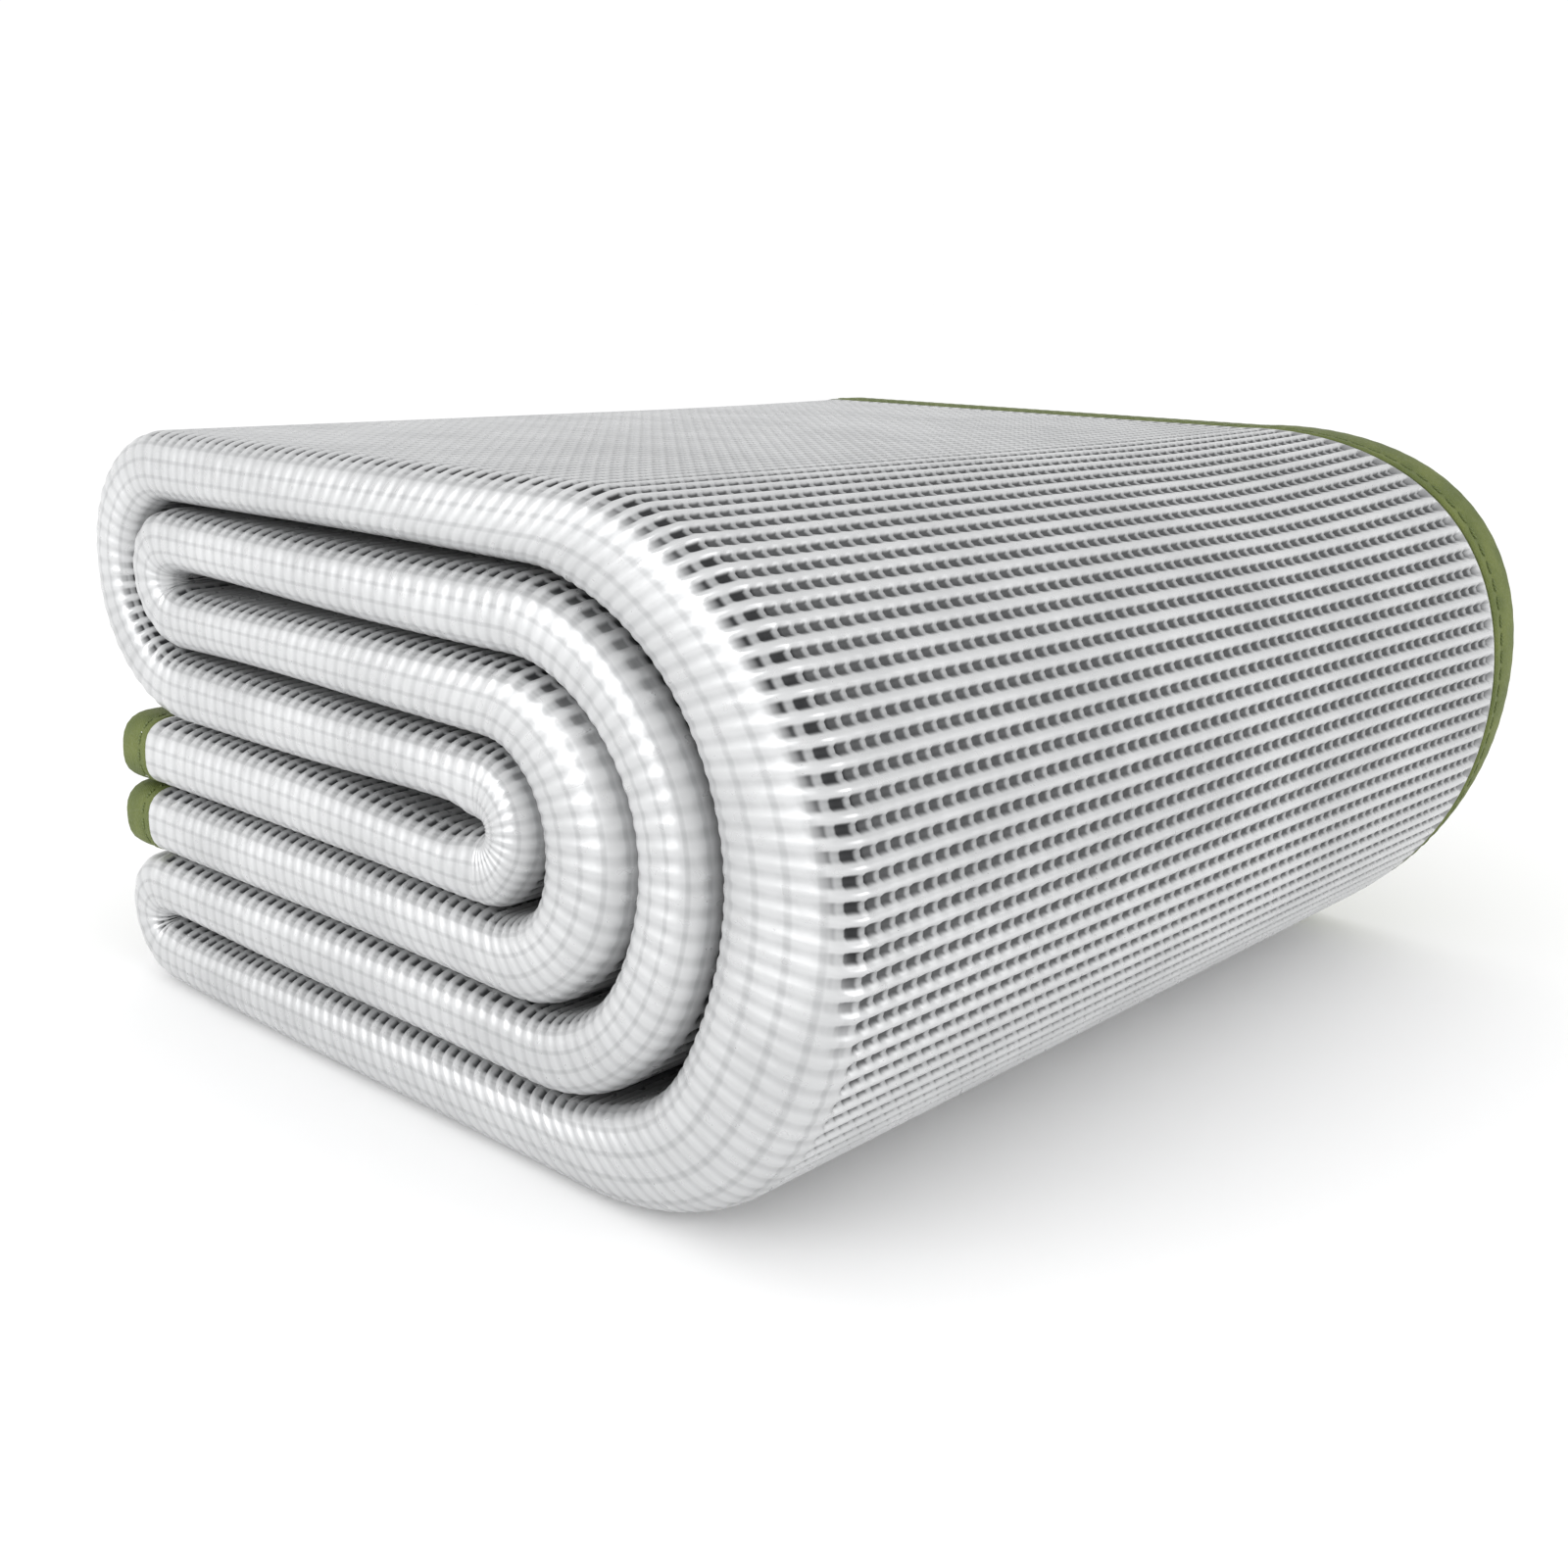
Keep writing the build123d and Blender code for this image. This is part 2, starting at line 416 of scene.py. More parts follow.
class Builder:
    """Collects vertices, their pattern coordinates and faces for one object."""

    def __init__(self):
        self.points = []
        self.cells = []
        self.relief = []
        self.faces = []
        self.smooth = []
        self.count = 0

    def add_points(self, points, cells, relief=0.0):
        """Settles a block of points, adds them and returns their numbers in the same layout."""
        start = self.count
        self.points.append(settle(points).reshape(-1, 3))
        self.cells.append(np.broadcast_to(cells, (*points.shape[:-1], 2)).reshape(-1, 2))
        self.relief.append(np.broadcast_to(relief, points.shape[:-1]).ravel())
        self.count += points[..., 0].size
        return np.arange(start, self.count).reshape(points.shape[:-1])

    def add_faces(self, faces, smooth=True):
        """Adds an array of faces that all have the same number of corners."""
        self.faces.append(faces)
        self.smooth.append(np.full(len(faces), smooth))

    def add_grid(self, index, flip=False, smooth=True):
        """Adds the quads between the rows and columns of a grid of vertex numbers."""
        quads = np.stack([index[:-1, :-1], index[1:, :-1], index[1:, 1:], index[:-1, 1:]], axis=-1)
        quads = quads.reshape(-1, 4)
        self.add_faces(quads[:, ::-1] if flip else quads, smooth)

    def build(self, name, material):
        """The finished object, with its pattern coordinates, relief and sharp edges."""
        points = np.concatenate(self.points) * MM
        cells = np.concatenate(self.cells)
        loops = np.concatenate([faces.reshape(-1) for faces in self.faces])
        sizes = np.concatenate([np.full(len(faces), faces.shape[1]) for faces in self.faces])
        starts = np.concatenate([[0], np.cumsum(sizes)[:-1]])
        mesh = bpy.data.meshes.new(name)
        mesh.vertices.add(len(points))
        mesh.vertices.foreach_set("co", points.astype(np.float32).ravel())
        mesh.loops.add(len(loops))
        mesh.loops.foreach_set("vertex_index", loops.astype(np.int32))
        mesh.polygons.add(len(sizes))
        mesh.polygons.foreach_set("loop_start", starts.astype(np.int32))
        mesh.polygons.foreach_set("loop_total", sizes.astype(np.int32))
        mesh.update(calc_edges=True)
        smooth = np.concatenate(self.smooth)
        mesh.polygons.foreach_set("use_smooth", smooth)
        edges = np.empty(len(loops), np.int32)
        mesh.loops.foreach_get("edge_index", edges)
        sharp = np.zeros(len(mesh.edges), bool)
        sharp[edges[np.repeat(~smooth, sizes)]] = True
        mesh.edges.foreach_set("use_edge_sharp", sharp)
        pattern = mesh.uv_layers.new(name="pattern")
        pattern.data.foreach_set("uv", cells[loops].astype(np.float32).ravel())
        relief = mesh.attributes.new("relief", "FLOAT", "POINT")
        relief.data.foreach_set("value", np.concatenate(self.relief).astype(np.float32))
        mesh.materials.append(material)
        piece = bpy.data.objects.new(name, mesh)
        bpy.context.scene.collection.objects.link(piece)
        return piece


def sweep(rows, section, sideways=0.0):
    """Points, pattern cells and strength of the relief, for a section swept along a lane.

    rows holds x, z, outward normal x and z, and cells along. section holds y,
    offset, surface normal in y and offset, depth weight, and cells across.
    sideways is how much a crease's relief grows as it faces to the right.
    """
    x, z, normal_x, normal_z, along = rows.T
    y, offset, side_y, side_offset, weight, across = section.T
    upward = (sideways * normal_x + normal_z)[:, None] * side_offset[None, :]
    shoulder = np.clip((upward - FADE_START) / FADE_LENGTH, 0, 1)
    crease = CREASE_RELIEF + (SHOULDER_RELIEF - CREASE_RELIEF) * shoulder
    relief = weight[None, :] * np.where(side_y[None, :] < 0, crease, 1.0)
    depth = emboss(along[:, None], across[None, :]) * relief
    out = offset[None, :] - side_offset[None, :] * depth
    points = np.stack(
        [
            x[:, None] + normal_x[:, None] * out,
            y[None, :] - side_y[None, :] * depth,
            z[:, None] + normal_z[:, None] * out,
        ],
        axis=-1,
    )
    cells = np.stack(np.broadcast_arrays(along[:, None], across[None, :]), axis=-1)
    return points, cells, relief


def skin(builder, lane, section, keys, thickness, sideways):
    """A closed skin with an embossed front.

    Its back is plain and coarse: a row for each cell, and a column for each key.
    """
    rows = lane.sample(FINE)
    front = builder.add_points(*sweep(rows, section, sideways))
    back_section = section[keys].copy()
    back_section[:, 0] -= back_section[:, 2] * thickness
    back_section[:, 1] -= back_section[:, 3] * thickness
    back_section[:, 4] = 0
    per_cell = len(FINE)
    back = builder.add_points(*sweep(rows[::per_cell], back_section))
    builder.add_grid(front)
    builder.add_grid(back, flip=True)
    for edge in (0, -1):
        starts = range(0, len(front) - 1, per_cell)
        fine = np.stack([front[start : start + per_cell + 1, edge] for start in starts])
        wall = np.concatenate([fine, back[1:, edge, None], back[:-1, edge, None]], axis=1)
        builder.add_faces(wall[:, ::-1] if edge == 0 else wall, smooth=False)
        for first, last, near, far in zip(keys[:-1], keys[1:], back[edge, :-1], back[edge, 1:]):
            face = np.array([[*front[edge, first : last + 1], far, near]])
            builder.add_faces(face if edge == 0 else face[:, ::-1], smooth=False)


def band(builder, front_points, back_points, cells):
    """A closed band between two grids of the same layout."""
    front = builder.add_points(front_points, cells)
    back = builder.add_points(back_points, cells)
    builder.add_grid(front)
    builder.add_grid(back, flip=True)
    builder.add_grid(np.stack([back[:, 0], front[:, 0]], axis=1), smooth=False)
    builder.add_grid(np.stack([front[:, -1], back[:, -1]], axis=1), smooth=False)
    builder.add_grid(np.stack([front[0], back[0]], axis=0), smooth=False)
    builder.add_grid(np.stack([back[-1], front[-1]], axis=0), smooth=False)


# ---------------------------------------------------------------------------
# Sections across a doubled layer

SKIN_THICKNESS = 1.5
INNER_FILM_THICKNESS = 0.2

# Beside the tape the sheet dips over the ramp, and it ends inside the tape's fold
TAPE_RAMP = 1.5
TAPE_LAP = 0.3
END_TUCK = 2.6

# A side that never shows has one column in every few cells
HIDDEN_STEP = 3

straight_start = crease_y
straight_end = tape_y - TAPE_RAMP
straight_cells = round((straight_end - straight_start) / CELL_ACROSS)

# Creases are squarer than a half circle: the power of sine and cosine that shapes them
CREASE_POWER = 0.74


def squared(angles, power):
    """A half circle of radius 1 in front of the creases, made squarer by a power below 1."""
    sine, cosine = np.sin(angles), np.cos(angles)
    return np.stack([-(sine**power), -np.sign(cosine) * np.abs(cosine) ** power])


def running_length(first, second):
    """Length of a path up to each of its places."""
    return np.concatenate([[0], np.cumsum(np.hypot(np.diff(first), np.diff(second)))])


def crease_curve(distance, count):
    """Evenly spaced places round a crease, and its length.

    A place is y, offset and their normals. They go from the minus to the plus side.
    """
    angles = np.linspace(0, np.pi, 400)
    y, offset = squared(angles, CREASE_POWER) * distance
    lengths = running_length(y, offset)
    even = np.interp(np.linspace(0, lengths[-1], count + 1), lengths, angles)
    y, offset = squared(even, CREASE_POWER) * distance
    normals = squared(even, 2 - CREASE_POWER)
    return np.stack([crease_y + y, offset, *(normals / np.hypot(*normals))], axis=-1), lengths[-1]


crease_cells = round(crease_curve(half_layer, 1)[1] / CELL_ACROSS)


def ply_columns(side, fine, distance):
    """Columns from the crease to the bound edge, on the plus or the minus side of a layer."""
    cell = (straight_end - straight_start) / straight_cells
    columns = []
    for index in range(straight_cells):
        if not fine and index % HIDDEN_STEP:
            continue
        for place in FINE if fine else (0.0,):
            y = straight_start + (index + place) * cell
            across = crease_cells / 2 + index + place
            columns.append(((y, side * distance, 0, side, 1, side * across), place == 0))
    last = side * (crease_cells / 2 + straight_cells)
    columns.append(((straight_end, side * distance, 0, side, 0, last), True))
    squeezed = side * (distance - tape_thickness)
    columns.append(((tape_y + TAPE_LAP, squeezed, 0, side, 0, last), True))
    columns.append(((edge_y - END_TUCK, squeezed, 0, side, 0, last), True))
    return columns


def crease_columns(distance):
    """Columns round the crease, from the minus to the plus side."""
    per_cell = len(FINE)
    curve, _ = crease_curve(distance, crease_cells * per_cell)
    columns = []
    for number, place in enumerate(curve[1:-1], start=1):
        across = number / per_cell - crease_cells / 2
        columns.append(((*place, 1, across), number % per_cell == 0))
    return columns


def film_section(fine_minus, fine_plus):
    """Columns of the outer film, and the numbers of those that lie on a cell's edge."""
    minus = ply_columns(-1, fine_minus, half_layer)[::-1]
    plus = ply_columns(1, fine_plus, half_layer)
    columns = minus + crease_columns(half_layer) + plus
    section = np.array([column for column, _ in columns], float)
    keys = [number for number, (_, key) in enumerate(columns) if key]
    return section, np.array(keys)


PLAIN_STEPS = 5
PLAIN_CREASE_STEPS = 8


def plain_section(distance, squeeze):
    """A coarse section at one distance from the middle, squeezed under the tape."""
    length = straight_end - straight_start
    plus = [
        (straight_start + share * length, distance, 0, 1, 0, share * straight_cells)
        for share in np.linspace(0, 1, PLAIN_STEPS + 1)
    ]
    for y in (tape_y + TAPE_LAP, edge_y - END_TUCK):
        plus.append((y, distance - squeeze, 0, 1, 0, straight_cells))
    minus = [(y, -offset, 0, -1, 0, -across) for y, offset, _, _, _, across in plus[::-1]]
    crease = [(*place, 0, 0) for place in crease_curve(distance, PLAIN_CREASE_STEPS)[0][1:-1]]
    return np.array(minus + crease + plus, float)


# ---------------------------------------------------------------------------
# The pieces of one length


def film_piece(name, lane, fine_minus, fine_plus):
    """The embossed outer film. A side that never shows is coarse."""
    builder = Builder()
    section, keys = film_section(fine_minus, fine_plus)
    skin(builder, lane, section, keys, SKIN_THICKNESS, float(fine_plus))
    return builder.build(name, film_material)


def plain_piece(name, lane, outer, inner, outer_squeeze, inner_squeeze, material):
    """A plain closed length between two distances from the middle."""
    builder = Builder()
    rows = lane.sample(COARSE)
    front, cells, _ = sweep(rows, plain_section(outer, outer_squeeze))
    back, _, _ = sweep(rows, plain_section(inner, inner_squeeze))
    band(builder, front, back, cells)
    return builder.build(name, material)


STITCH_INSET = 3.0
TAPE_PUCKER = 0.22
TAPE_DIMPLE_FULLNESS = 0.6

# The tape's outer surface across one ply: share of its width, depth below the face
# and share of the pucker, which is strongest along the seam
TAPE_LEG = (
    (0.0, 0.12, 0.3),
    (0.03, -0.12, 0.3),
    (0.1, -0.18, 0.3),
    (0.17, -0.1, 0.3),
    (0.25, 0.05, 1),
    (0.33, -0.1, 0.3),
    (0.5, -0.22, 0.3),
    (0.7, -0.2, 0.3),
    (0.88, -0.1, 0.3),
)

# Its rounded fold: radius as a share of the ply, steps, pucker there and at the
# middle, how far the middle bulges and how far its inner leg stands off the face
FOLD_RADIUS_SHARE = 0.32
FOLD_STEPS = 4
FOLD_PUCKER = 0.15
MIDDLE_PUCKER = 0.1
MIDDLE_BULGE = 0.15
INNER_LEG_RISE = 0.1

# A little thinner than it is, so that its back never touches what it wraps
TAPE_BACK_SHARE = 0.9


def tape_profile():
    """The tape round the edge of one ply, as y, offset, normal y, normal offset and pucker."""
    width = edge_y - tape_y
    fold_y = edge_y + tape_thickness
    radius = (half_layer - inner_face) * FOLD_RADIUS_SHARE
    half = [
        (tape_y + share * width, half_layer - depth, 0, 1, pucker)
        for share, depth, pucker in TAPE_LEG
    ]
    for number in range(1, FOLD_STEPS):
        angle = math.pi / 2 * number / FOLD_STEPS
        sine, cosine = math.sin(angle), math.cos(angle)
        y = fold_y - radius + radius * sine
        half.append((y, half_layer - radius + radius * cosine, sine, cosine, FOLD_PUCKER))
    middle = (fold_y + MIDDLE_BULGE, (half_layer + inner_face) / 2, 1, 0, MIDDLE_PUCKER)
    mirrored = np.array(half[::-1])
    heights = half_layer + inner_face - mirrored[:, 1]
    mirrored[:, 1] = np.maximum(heights, inner_face - INNER_LEG_RISE)
    mirrored[:, 3] *= -1
    return np.concatenate([half, [middle], mirrored])


def tape_grid(rows, profile, side):
    """Front and back points of a tape along a lane, on the plus or the minus side."""
    x, z, normal_x, normal_z, along = rows.T
    y, offset, side_y, side_offset, pucker = profile.T
    dip = TAPE_PUCKER * dimple(along, TAPE_DIMPLE_FULLNESS)[:, None] * pucker[None, :]
    grids = []
    for depth in (dip, dip + tape_thickness * TAPE_BACK_SHARE):
        out = side * (offset[None, :] - side_offset[None, :] * depth)
        grids.append(
            np.stack(
                [
                    x[:, None] + normal_x[:, None] * out,
                    y[None, :] - side_y[None, :] * depth,
                    z[:, None] + normal_z[:, None] * out,
                ],
                axis=-1,
            )
        )
    lengths = running_length(y, offset)
    cells = np.stack(np.broadcast_arrays(along[:, None] * CELL_ALONG, lengths[None, :]), axis=-1)
    return grids, cells


def tape_piece(name, lane):
    """The tape over the bound edges of both plies."""
    builder = Builder()
    rows = lane.sample(FINE)
    profile = tape_profile()
    for side in (1, -1):
        (front, back), cells = tape_grid(rows, profile, side)
        if side > 0:
            band(builder, front[:, ::-1], back[:, ::-1], cells[:, ::-1])
        else:
            band(builder, front, back, cells)
    return builder.build(name, tape_material)


# One stitch: places within a cell, and how thick it is at each of them
STITCH_PLACES = (0.14, 0.2, 0.35, 0.5, 0.65, 0.8, 0.86)
STITCH_SWELL = (0.25, 0.8, 1.0, 1.0, 1.0, 0.8, 0.25)
STITCH_WIDTH = 0.42
STITCH_HEIGHT = 0.3
STITCH_SIDES = 6


def stitches(builder, centres, normals, sides):
    """One closed thread loop for each stitch. The arrays are stitches by places by 3."""
    angles = np.arange(STITCH_SIDES) * 2 * np.pi / STITCH_SIDES
    swell = np.array(STITCH_SWELL)[None, :, None, None]
    around = (
        normals[:, :, None, :] * (np.cos(angles) * STITCH_HEIGHT)[None, None, :, None]
        + sides[:, :, None, :] * (np.sin(angles) * STITCH_WIDTH)[None, None, :, None]
    )
    points = centres[:, :, None, :] + around * swell
    lengthwise = np.linspace(0, 1, len(STITCH_PLACES))[None, :, None]
    turned = (angles / (2 * np.pi))[None, None, :]
    cells = np.stack(np.broadcast_arrays(lengthwise, turned), axis=-1)
    index = builder.add_points(points, np.broadcast_to(cells, (*points.shape[:-1], 2)))
    beside = np.roll(index, -1, axis=2)
    quads = np.stack([index[:, :-1], beside[:, :-1], beside[:, 1:], index[:, 1:]], axis=-1)
    builder.add_faces(quads.reshape(-1, 4))
    builder.add_faces(index[:, 0, ::-1])
    builder.add_faces(index[:, -1])


def stitch_piece(name, lane, faces):
    """Stitches along the bound edges: faces lists the offset of each row of them."""
    builder = Builder()
    rows = lane.sample(STITCH_PLACES)[:-1].reshape(-1, len(STITCH_PLACES), 5)
    x, z, normal_x, normal_z, _ = np.moveaxis(rows, -1, 0)
    normals = np.stack([normal_x, np.zeros_like(x), normal_z], axis=-1)
    across = np.broadcast_to((0.0, 1.0, 0.0), normals.shape)
    for offset in faces:
        y = np.full_like(x, tape_y + STITCH_INSET)
        base = np.stack([x, y, z], axis=-1)
        stitches(builder, base + normals * offset, normals, across)
    return builder.build(name, thread_material)


END_STEPS = 60
END_CREASE_STEPS = 14
END_CLEARANCE = 0.2


def end_section():
    """A layer's outer face from one bound edge round the crease to the other.

    Each place is y, offset and their normals.
    """
    places = np.linspace(edge_y - END_CLEARANCE, straight_start, END_STEPS)
    straight = [(y, -half_layer, 0, -1) for y in places]
    mirrored = [(y, -offset, 0, 1) for y, offset, _, _ in straight[::-1]]
    crease = crease_curve(half_layer, END_CREASE_STEPS)[0][1:-1]
    return np.concatenate([straight, crease, mirrored])


def end_tape_piece(name, layer):
    """The tape over a free end, swept round the doubled layer's section."""
    builder = Builder()
    y, offset, side_y, side_offset = end_section().T
    width, height, along_x, inward, _ = tape_profile().T
    grids = []
    for extra in (0, tape_thickness * TAPE_BACK_SHARE):
        x = flap_end_x + (edge_y - width) + along_x * extra
        depth = (half_layer - height)[None, :] + inward[None, :] * extra
        grids.append(
            np.stack(
                [
                    np.broadcast_to(x, (len(y), len(x))),
                    y[:, None] - side_y[:, None] * depth,
                    layer_z(layer) + offset[:, None] - side_offset[:, None] * depth,
                ],
                axis=-1,
            )
        )
    across = running_length(width, height)
    along = running_length(y, offset)
    cells = np.stack(np.broadcast_arrays(along[:, None], across[None, :]), axis=-1)
    band(builder, *grids, cells)
    return builder.build(name, tape_material)


def end_stitch_piece(name, layer):
    """Stitches round a free end, along the same section."""
    builder = Builder()
    section = end_section()
    lengths = running_length(section[:, 0], section[:, 1])
    count = round(lengths[-1] / CELL_ALONG) - 2
    reach = (np.arange(count)[:, None] + 1 + np.array(STITCH_PLACES)[None, :]) * CELL_ALONG
    columns = (np.interp(reach, lengths, column) for column in section.T)
    y, offset, normal_y, normal_offset = columns
    x = np.full_like(reach, end_tape_x - STITCH_INSET)
    centres = np.stack([x, y, layer_z(layer) + offset], axis=-1)
    normals = np.stack([np.zeros_like(x), normal_y, normal_offset], axis=-1)
    stitches(builder, centres, normals, np.broadcast_to((1.0, 0.0, 0.0), normals.shape))
    return builder.build(name, thread_material)


# ---------------------------------------------------------------------------
# Materials


class Value:
    """A shader socket that Python's operators build Math nodes on."""

    def __init__(self, tree, socket):
        self.tree = tree
        self.socket = socket

    def math(self, operation, *values):
        """Adds a Math node that works on these values."""
        return self.tree.node("ShaderNodeMath", {"operation": operation}, dict(enumerate(values)))

    def __add__(self, other):
        return self.math("ADD", self, other)

    __radd__ = __add__

    def __sub__(self, other):
        return self.math("SUBTRACT", self, other)

    def __rsub__(self, other):
        return self.math("SUBTRACT", other, self)

    def __mul__(self, other):
        return self.math("MULTIPLY", self, other)

    __rmul__ = __mul__

    def sin(self):
        return self.math("SINE", self)


class Finish:
    """A material and the few ways its nodes are made."""

    def __init__(self, name):
        self.material = bpy.data.materials.new(name)
        self.material.use_nodes = True
        self.nodes = self.material.node_tree.nodes
        self.links = self.material.node_tree.links
        self.shader = self.nodes["Principled BSDF"]

    def node(self, kind, settings=None, inputs=None, output=0):
        """Makes a node from its type, its settings and the values or links of its sockets."""
        made = self.nodes.new(kind)
        for key, setting in (settings or {}).items():
            setattr(made, key, setting)
        for key, value in (inputs or {}).items():
            self.set(made.inputs[key], value)
        return Value(self, made.outputs[output])

    def set(self, socket, value):
        """Links a value to a socket, or sets it there."""
        if isinstance(value, Value):
            self.links.new(value.socket, socket)
        else:
            socket.default_value = value

    def feed(self, **inputs):
        """Sets the shader's sockets and returns the finished material."""
        for key, value in inputs.items():
            self.set(self.shader.inputs[key.replace("_", " ")], value)
        return self.material

    def mix(self, factor, first, second):
        """Blends two colours."""
        inputs = {0: factor, 6: first, 7: second}
        return self.node("ShaderNodeMix", {"data_type": "RGBA"}, inputs, output=2)

    def pattern(self):
        """The piece's own pattern coordinates: along and across."""
        coordinates = self.node("ShaderNodeUVMap", {"uv_map": "pattern"})
        along = self.node("ShaderNodeSeparateXYZ", None, {0: coordinates})
        return along, Value(self, along.socket.node.outputs[1])

    def place(self):
        """Coordinates of the piece itself, in metres."""
        return self.node("ShaderNodeTexCoord", None, None, output=3)

    def noise(self, vector, scale, detail=3.0):
        inputs = {"Vector": vector, "Scale": scale, "Detail": detail, "Roughness": 0.55}
        return self.node("ShaderNodeTexNoise", None, inputs)

    def ramp(self, value, low, high, start=0.0, end=1.0):
        """Goes smoothly from start to end as a value goes from low to high."""
        inputs = {0: value, 1: low, 2: high, 3: start, 4: end}
        return self.node("ShaderNodeMapRange", {"interpolation_type": "SMOOTHSTEP"}, inputs)

    def bump(self, height, strength, distance):
        inputs = {"Strength": strength, "Distance": distance, "Height": height}
        return self.node("ShaderNodeBump", None, inputs)


ONE_ROUND = 2 * math.pi

# How far each cloudy colour goes: the noise's low and high values
CLOUD = (0.3, 0.7)

METAL_DULL = (0.50, 0.505, 0.51, 1)
METAL_BRIGHT = (0.57, 0.575, 0.58, 1)
# Painted shade: these colours and strengths darken the emboss's grooves and pits and the fine
# lines round the creases
GROOVE_PAINTED_SHADE = (0.2, 0.205, 0.21, 1)
PIT_PAINTED_SHADE = (0.03, 0.031, 0.033, 1)
GROOVE_SHADE_STRENGTH = 0.5
PIT_SHADE_STRENGTH = 0.82
CREASE_LINE_SHADE_STRENGTH = 0.25
ROW_LINE_SHARE = 0.4
GROOVE_ROUGHNESS = 0.35

FOAM_SHADE = (0.78, 0.79, 0.79, 1)
FOAM_WHITE = (0.88, 0.885, 0.885, 1)

OLIVE_SHADE = (0.082, 0.108, 0.019, 1)
OLIVE = (0.122, 0.148, 0.03, 1)
OLIVE_WEAVE = (0.06, 0.08, 0.017, 1)
WARP_SPACING = 0.9
WEFT_SPACING = 0.7

THREAD_SHADE = (0.075, 0.10, 0.022, 1)
THREAD_GREEN = (0.13, 0.165, 0.04, 1)
TWISTS = 4.0


def cell_wave(value):
    """0 on a cell's edges and 1 in its middle."""
    return 0.5 - 0.5 * (value * ONE_ROUND + math.pi / 2).sin()


def make_film(name):
    """Metallised film pressed into a grid: bright ribs, painted shade in the grooves, pits and
    fine crease lines, and fine crinkles.
    """
    finish = Finish(name)
    along, across = finish.pattern()
    place = finish.place()
    relief = finish.node("ShaderNodeAttribute", {"attribute_name": "relief"}, None, output=2)
    row = cell_wave(along)
    column = cell_wave(across)
    groove = finish.ramp(row, 0.25, 0.8) * relief
    pit = groove * relief * finish.ramp(column, 0.06, 0.5)
    # Where the relief is stretched nearly smooth, as round the creases, fine lines of painted
    # shade are left
    shade_lines = finish.ramp(column, 0.75, 1.0) + finish.ramp(row, 0.65, 1.0) * ROW_LINE_SHARE
    shade_lines = shade_lines * finish.ramp(relief, 0.1, 1.0, 1.0, 0.0)
    bright = finish.mix(finish.ramp(finish.noise(place, 38.0), *CLOUD), METAL_DULL, METAL_BRIGHT)
    # Painted shade in the grooves, and painted shade lines round the creases
    painted_shade = groove * GROOVE_SHADE_STRENGTH + shade_lines * CREASE_LINE_SHADE_STRENGTH
    groove_shaded = finish.mix(painted_shade, bright, GROOVE_PAINTED_SHADE)
    # Painted shade in the pits
    colour = finish.mix(pit * PIT_SHADE_STRENGTH, groove_shaded, PIT_PAINTED_SHADE)
    crinkle = finish.noise(place, 260.0, 2.0)
    roughness = finish.ramp(crinkle, *CLOUD, 0.26, 0.42) + groove * GROOVE_ROUGHNESS
    normal = finish.bump(crinkle, 0.12, 0.0003)
    return finish.feed(Base_Color=colour, Metallic=0.45, Roughness=roughness, Normal=normal)


def make_foam(name):
    """Closed-cell foam: white, with fine round cells."""
    finish = Finish(name)
    place = finish.place()
    inputs = {"Vector": place, "Scale": 1400.0}
    bubbles = finish.node("ShaderNodeTexVoronoi", {"feature": "SMOOTH_F1"}, inputs)
    colour = finish.mix(finish.ramp(finish.noise(place, 60.0), *CLOUD), FOAM_SHADE, FOAM_WHITE)
    normal = finish.bump(bubbles, 0.5, 0.0003)
    return finish.feed(Base_Color=colour, Roughness=0.8, Normal=normal)


def make_tape(name):
    """Olive polyester tape with a fine rib across its width."""
    finish = Finish(name)
    along, across = finish.pattern()
    place = finish.place()
    warp = (along * (ONE_ROUND / WARP_SPACING)).sin()
    weft = (across * (ONE_ROUND / WEFT_SPACING)).sin()
    weave = warp * weft
    fuzz = finish.noise(place, 1600.0, 2.0)
    base = finish.mix(finish.ramp(finish.noise(place, 120.0), *CLOUD), OLIVE_SHADE, OLIVE)
    colour = finish.mix(finish.ramp(weave, -1.0, 1.0) * 0.35, base, OLIVE_WEAVE)
    roughness = finish.ramp(fuzz, *CLOUD, 0.62, 0.82)
    normal = finish.bump(weave * 0.5 + fuzz, 0.45, 0.00025)
    return finish.feed(Base_Color=colour, Roughness=roughness, Normal=normal)


def make_thread(name):
    """Twisted thread in the tape's own olive."""
    finish = Finish(name)
    along, across = finish.pattern()
    twist = ((along * TWISTS + across) * ONE_ROUND).sin()
    colour = finish.mix(finish.ramp(twist, -1.0, 1.0), THREAD_SHADE, THREAD_GREEN)
    normal = finish.bump(twist, 0.6, 0.0002)
    return finish.feed(Base_Color=colour, Roughness=0.6, Normal=normal)


film_material = make_film("embossed_film")
foam_material = make_foam("foam")
tape_material = make_tape("binding_tape")
thread_material = make_thread("thread")


# ---------------------------------------------------------------------------
# Every length of the sheet

# Each length: its lane, its body, and whether its minus and its plus side show
LENGTHS = {
    "base_wrap": (wrap_lane(0, 1, base_turn_x), "lower_stack", False, True),
    "lower_flap": (flap_lane(2, END_TUCK), "lower_stack", False, False),
    "upper_flap": (flap_lane(3, END_TUCK), "lower_stack", False, True),
    "top_wrap": (wrap_lane(4, 7, wrap_turn_x), "upper_stack", False, True),
    "middle_wrap": (wrap_lane(5, 6, wrap_turn_x), "upper_stack", False, False),
}
FREE_ENDS = {"lower_flap": 2, "upper_flap": 3}

# How far the tape presses each face of the foam in
SQUEEZE = 0.5


